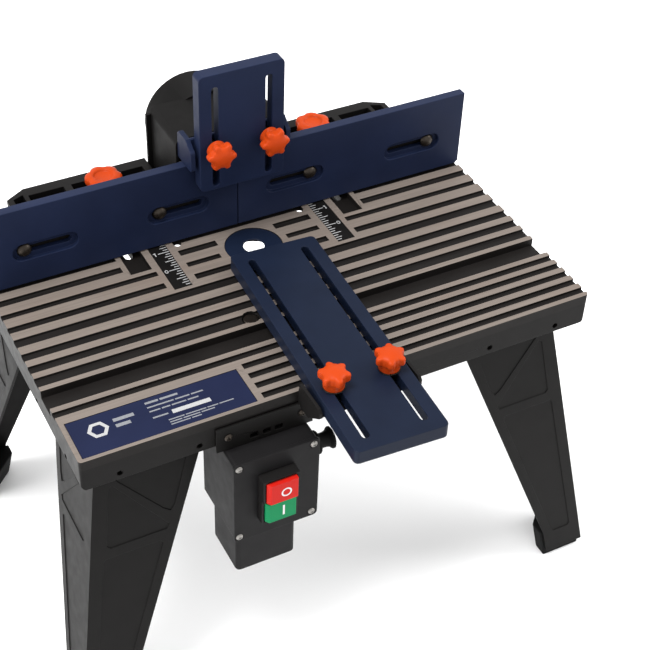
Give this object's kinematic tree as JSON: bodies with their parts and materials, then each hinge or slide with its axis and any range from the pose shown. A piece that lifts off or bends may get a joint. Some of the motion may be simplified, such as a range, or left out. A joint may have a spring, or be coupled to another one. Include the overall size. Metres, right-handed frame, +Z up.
{
  "type": "router table",
  "caption": "Bench-top router table: ribbed top on splayed legs, split fence with dust hood, slotted guard plates clamped by star knobs, and a switch box.",
  "frame": {"origin": "on the floor under the middle of the bounding box", "axes": "+X to the operator's right along the fence, +Y from the operator towards the dust port, +Z up"},
  "size_m": [0.516, 0.4157, 0.479],
  "materials": {
    "table_black": "satin black, machined grey on the rib tops",
    "leg_black": "satin black",
    "foot_rubber": "matte black",
    "gland_rubber": "matte black",
    "blue_plastic": "satin dark blue",
    "label_blue": "printed film",
    "black_plastic": "satin black",
    "dark_steel": "blackened",
    "bright_steel": "zinc plated",
    "orange_plastic": "satin orange",
    "red_plastic": "semi-gloss red",
    "green_plastic": "semi-gloss green"
  },
  "bodies": {
    "table": {"table_top": "table_black", "leg_front_left": "leg_black", "leg_front_right": "leg_black", "leg_rear_left": "leg_black", "leg_rear_right": "leg_black", "foot_front_left": "foot_rubber", "foot_front_right": "foot_rubber", "foot_rear_left": "foot_rubber", "foot_rear_right": "foot_rubber", "insert_ring": "blue_plastic", "label_plate": "label_blue", "scale_left": "black_plastic", "scale_right": "black_plastic", "slide_bracket": "black_plastic", "slide_bolt_left": "bright_steel", "slide_bolt_right": "bright_steel", "switch_bracket": "black_plastic", "bracket_screw_left": "bright_steel", "bracket_screw_right": "bright_steel", "switch_box": "black_plastic", "switch_cover": "black_plastic", "cover_screw_1": "bright_steel", "cover_screw_2": "bright_steel", "cover_screw_3": "bright_steel", "cover_screw_4": "bright_steel", "switch_frame": "black_plastic", "cable_gland": "gland_rubber", "outlet_housing": "black_plastic"},
    "fence_carriage": {"fence_body": "black_plastic", "dust_hood": "black_plastic", "guard_bracket": "blue_plastic", "fence_bolt_left_inner": "dark_steel", "fence_bolt_left_outer": "dark_steel", "fence_bolt_right_inner": "dark_steel", "fence_bolt_right_outer": "dark_steel", "clamp_bolt_left": "bright_steel", "clamp_bolt_right": "bright_steel", "guard_bolt_left": "bright_steel", "guard_bolt_right": "bright_steel"},
    "left_fence": {"fence_left": "blue_plastic"},
    "right_fence": {"fence_right": "blue_plastic"},
    "upright_guard": {"guard_plate": "blue_plastic"},
    "slide_guard": {"slide_plate": "blue_plastic"},
    "left_fence_knob": {"clamp_knob_left": "orange_plastic"},
    "right_fence_knob": {"clamp_knob_right": "orange_plastic"},
    "left_guard_knob": {"guard_knob_left": "orange_plastic"},
    "right_guard_knob": {"guard_knob_right": "orange_plastic"},
    "left_slide_knob": {"slide_knob_left": "orange_plastic"},
    "right_slide_knob": {"slide_knob_right": "orange_plastic"},
    "stop": {"stop_button": "red_plastic"},
    "start": {"start_button": "green_plastic"},
    "clamp_1": {"router_clamp_1": "dark_steel"},
    "clamp_2": {"router_clamp_2": "dark_steel"},
    "clamp_3": {"router_clamp_3": "dark_steel"},
    "clamp_4": {"router_clamp_4": "dark_steel"}
  },
  "joints": [
    {"name": "fence_depth", "type": "slide", "parent": "table", "child": "fence_carriage", "axis": [0, 1, 0], "range_m": [-0.0215, 0.013]},
    {"name": "left_fence_opening", "type": "slide", "parent": "fence_carriage", "child": "left_fence", "axis": [-1, 0, 0], "range_m": [0, 0.036]},
    {"name": "right_fence_opening", "type": "slide", "parent": "fence_carriage", "child": "right_fence", "axis": [1, 0, 0], "range_m": [0, 0.036]},
    {"name": "guard_height", "type": "slide", "parent": "fence_carriage", "child": "upright_guard", "axis": [0, 0, 1], "range_m": [-0.054, 0.031]},
    {"name": "slide_guard_reach", "type": "slide", "parent": "table", "child": "slide_guard", "axis": [0.0523, 0.9986, 0], "range_m": [-0.16, 0.012]},
    {"name": "left_fence_knob_turn", "type": "hinge", "parent": "fence_carriage", "child": "left_fence_knob", "pos_m": [-0.1025, 0.1564, 0.3433], "axis": [0, 0, 1], "range_deg": [0, 360]},
    {"name": "right_fence_knob_turn", "type": "hinge", "parent": "fence_carriage", "child": "right_fence_knob", "pos_m": [0.1025, 0.1564, 0.3433], "axis": [0, 0, 1], "range_deg": [0, 360]},
    {"name": "left_guard_knob_turn", "type": "hinge", "parent": "fence_carriage", "child": "left_guard_knob", "pos_m": [-0.0269, 0.0844, 0.408], "axis": [0, -1, 0], "range_deg": [0, 360]},
    {"name": "right_guard_knob_turn", "type": "hinge", "parent": "fence_carriage", "child": "right_guard_knob", "pos_m": [0.0221, 0.0844, 0.408], "axis": [0, -1, 0], "range_deg": [0, 360]},
    {"name": "left_slide_knob_turn", "type": "hinge", "parent": "table", "child": "left_slide_knob", "pos_m": [-0.0271, -0.1331, 0.3231], "axis": [0, 0, 1], "range_deg": [0, 360]},
    {"name": "right_slide_knob_turn", "type": "hinge", "parent": "table", "child": "right_slide_knob", "pos_m": [0.0219, -0.1331, 0.3231], "axis": [0, 0, 1], "range_deg": [0, 360]},
    {"name": "stop_press", "type": "slide", "parent": "table", "child": "stop", "axis": [0, 1, 0], "range_m": [0, 0.003], "stiffness_N_per_m": 500},
    {"name": "start_press", "type": "slide", "parent": "table", "child": "start", "axis": [0, 1, 0], "range_m": [0, 0.003], "stiffness_N_per_m": 500},
    {"name": "router_clamp_1_swing", "type": "hinge", "parent": "table", "child": "clamp_1", "pos_m": [-0.0433, -0.0184, 0.2965], "axis": [0, 0, 1], "range_deg": [-90, 90]},
    {"name": "router_clamp_2_swing", "type": "hinge", "parent": "table", "child": "clamp_2", "pos_m": [0.0433, -0.0184, 0.2965], "axis": [0, 0, 1], "range_deg": [-90, 90]},
    {"name": "router_clamp_3_swing", "type": "hinge", "parent": "table", "child": "clamp_3", "pos_m": [-0.0433, 0.1502, 0.2965], "axis": [0, 0, 1], "range_deg": [-90, 90]},
    {"name": "router_clamp_4_swing", "type": "hinge", "parent": "table", "child": "clamp_4", "pos_m": [0.0433, 0.1502, 0.2965], "axis": [0, 0, 1], "range_deg": [-90, 90]}
  ]
}
